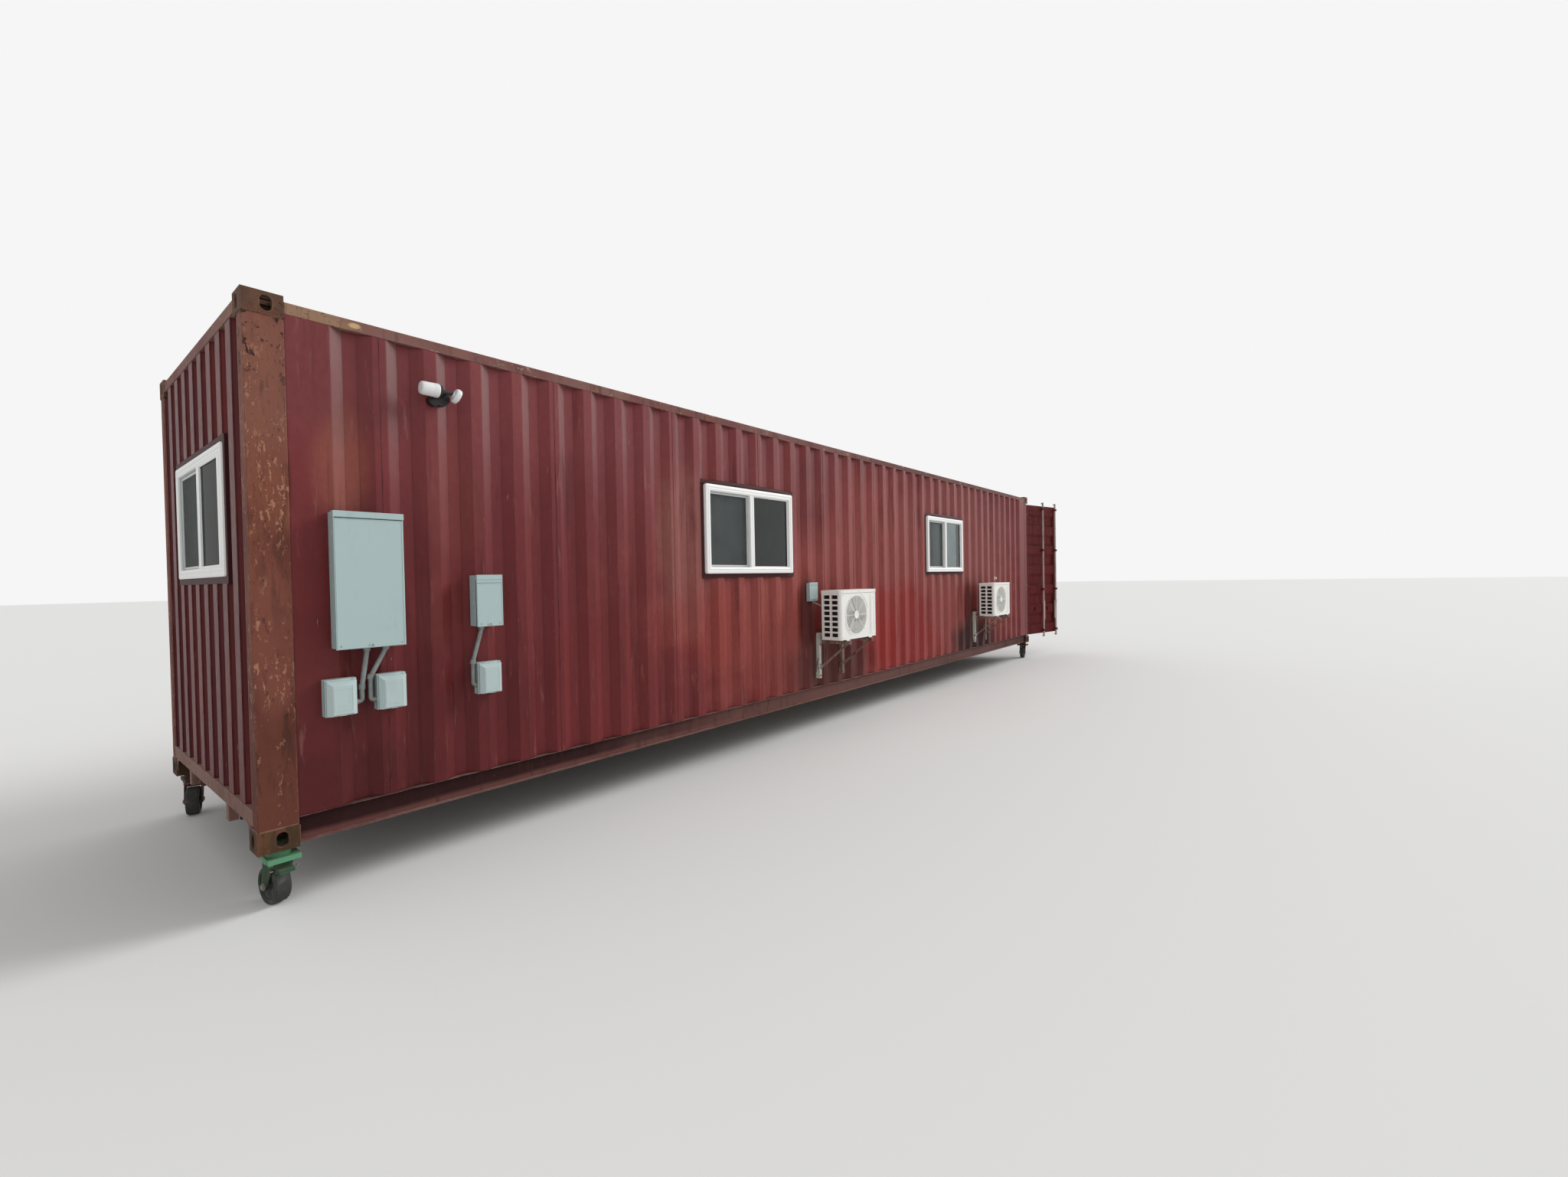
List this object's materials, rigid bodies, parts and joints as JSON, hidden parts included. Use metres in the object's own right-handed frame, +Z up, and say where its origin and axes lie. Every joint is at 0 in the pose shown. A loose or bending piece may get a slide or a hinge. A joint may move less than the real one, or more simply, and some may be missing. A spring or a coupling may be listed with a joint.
{
  "type": "shipping container cabin",
  "caption": "High-cube shipping container cabin on casters, with sliding windows, outdoor cooling units, electrical boxes and open cargo doors",
  "frame": {"origin": "On the ground, under the middle of the space that the whole object takes up", "axes": "+X along the cabin from the blind end wall to the cargo doors, +Y from the side with the windows inwards, +Z up"},
  "size_m": [13.346, 3.1349, 3.201],
  "materials": {
    "corner_steel": "rusted",
    "shell_paint": "weathered satin",
    "rail_paint": "weathered matt",
    "under_paint": "matt",
    "floor_wood": "worn",
    "window_white": "satin",
    "sash_metal": "satin",
    "window_glass": "clear",
    "unit_white": "satin",
    "fan_plastic": "satin",
    "galvanised": "dull galvanised",
    "box_grey": "satin",
    "box_plastic": "satin",
    "lamp_black": "satin",
    "seal_rubber": "matt",
    "caster_green": "worn",
    "caster_red": "worn",
    "wheel_tread": "dirty"
  },
  "bodies": {
    "cabin": {"top_corner_castings": "corner_steel", "under_corner_castings": "corner_steel", "front_corner_posts": "corner_steel", "rear_corner_posts": "shell_paint", "top_side_rails": "rail_paint", "bottom_side_rails": "rail_paint", "front_header": "rail_paint", "front_sill": "rail_paint", "door_header": "shell_paint", "door_sill": "shell_paint", "door_keepers": "shell_paint", "sill_plates": "rail_paint", "near_side_wall": "shell_paint", "far_side_wall": "shell_paint", "front_end_wall": "shell_paint", "roof_sheet": "shell_paint", "floor_boards": "floor_wood", "cross_members": "under_paint", "tunnel_plate": "under_paint", "tunnel_sides": "under_paint", "window_surrounds": "rail_paint", "window_frames": "window_white", "window_sashes": "sash_metal", "window_glass": "window_glass", "unit_casings": "unit_white", "fan_guards": "unit_white", "unit_brackets": "galvanised", "disconnect_box": "box_grey", "power_whip": "galvanised", "main_panel": "box_grey", "sub_panel": "box_grey", "outlet_boxes": "box_plastic", "conduits": "galvanised", "lamp_base": "lamp_black", "lamp_heads": "window_white", "caster_plates": "caster_green"},
    "near_door": {"near_door_leaf": "shell_paint", "near_door_seal": "seal_rubber"},
    "far_door": {"far_door_leaf": "shell_paint", "far_door_seal": "seal_rubber"},
    "near_rod_1": {"near_door_rod_1": "shell_paint"},
    "near_rod_2": {"near_door_rod_2": "shell_paint"},
    "far_rod_1": {"far_door_rod_1": "shell_paint"},
    "far_rod_2": {"far_door_rod_2": "shell_paint"},
    "left_fan": {"left_unit_fan": "fan_plastic"},
    "right_fan": {"right_unit_fan": "fan_plastic"},
    "near_left_swivel": {"near_left_fork": "caster_red"},
    "near_left_roller": {"near_left_wheel": "wheel_tread"},
    "far_left_swivel": {"far_left_fork": "caster_red"},
    "far_left_roller": {"far_left_wheel": "wheel_tread"},
    "near_right_swivel": {"near_right_fork": "caster_red"},
    "near_right_roller": {"near_right_wheel": "wheel_tread"},
    "far_right_swivel": {"far_right_fork": "caster_red"},
    "far_right_roller": {"far_right_wheel": "wheel_tread"}
  },
  "joints": [
    {"name": "near_door_hinge", "type": "hinge", "parent": "cabin", "child": "near_door", "pos_m": [5.49079, -1.13286, 1.753], "axis": [0, 0, -1], "range_deg": [-103, 157]},
    {"name": "far_door_hinge", "type": "hinge", "parent": "cabin", "child": "far_door", "pos_m": [5.49079, 1.26514, 1.753], "axis": [0, 0, 1], "range_deg": [-103, 157]},
    {"name": "near_rod_1_turn", "type": "hinge", "parent": "near_door", "child": "near_rod_1", "pos_m": [6.0931, -1.28013, 1.085], "axis": [0, 0, 1], "range_deg": [-90, 0]},
    {"name": "near_rod_2_turn", "type": "hinge", "parent": "near_door", "child": "near_rod_2", "pos_m": [6.5608, -1.3881, 1.085], "axis": [0, 0, -1], "range_deg": [-90, 0]},
    {"name": "far_rod_1_turn", "type": "hinge", "parent": "far_door", "child": "far_rod_1", "pos_m": [6.0931, 1.4124, 1.085], "axis": [0, 0, -1], "range_deg": [-90, 0]},
    {"name": "far_rod_2_turn", "type": "hinge", "parent": "far_door", "child": "far_rod_2", "pos_m": [6.5608, 1.52038, 1.085], "axis": [0, 0, 1], "range_deg": [-90, 0]},
    {"name": "left_fan_spin", "type": "hinge", "parent": "cabin", "child": "left_fan", "pos_m": [-1.58921, -1.55486, 1.265], "axis": [0, -1, 0], "continuous": true},
    {"name": "right_fan_spin", "type": "hinge", "parent": "cabin", "child": "right_fan", "pos_m": [2.85579, -1.55486, 1.265], "axis": [0, -1, 0], "continuous": true},
    {"name": "near_left_swivel_turn", "type": "hinge", "parent": "cabin", "child": "near_left_swivel", "pos_m": [-6.56771, -1.06336, 0.269], "axis": [0, 0, 1], "continuous": true},
    {"name": "near_left_roll", "type": "hinge", "parent": "near_left_swivel", "child": "near_left_roller", "pos_m": [-6.57639, -1.01412, 0.1], "axis": [-0.9848, -0.1736, 0], "continuous": true},
    {"name": "far_left_swivel_turn", "type": "hinge", "parent": "cabin", "child": "far_left_swivel", "pos_m": [-6.56771, 1.19564, 0.269], "axis": [0, 0, 1], "continuous": true},
    {"name": "far_left_roll", "type": "hinge", "parent": "far_left_swivel", "child": "far_left_roller", "pos_m": [-6.58065, 1.14734, 0.1], "axis": [0.9659, -0.2588, 0], "continuous": true},
    {"name": "near_right_swivel_turn", "type": "hinge", "parent": "cabin", "child": "near_right_swivel", "pos_m": [5.41729, -1.06336, 0.269], "axis": [0, 0, 1], "continuous": true},
    {"name": "near_right_roll", "type": "hinge", "parent": "near_right_swivel", "child": "near_right_roller", "pos_m": [5.36805, -1.07204, 0.1], "axis": [0.1736, -0.9848, 0], "continuous": true},
    {"name": "far_right_swivel_turn", "type": "hinge", "parent": "cabin", "child": "far_right_swivel", "pos_m": [5.41729, 1.19564, 0.269], "axis": [0, 0, 1], "continuous": true},
    {"name": "far_right_roll", "type": "hinge", "parent": "far_right_swivel", "child": "far_right_roller", "pos_m": [5.36805, 1.18695, 0.1], "axis": [0.1736, -0.9848, 0], "continuous": true}
  ]
}
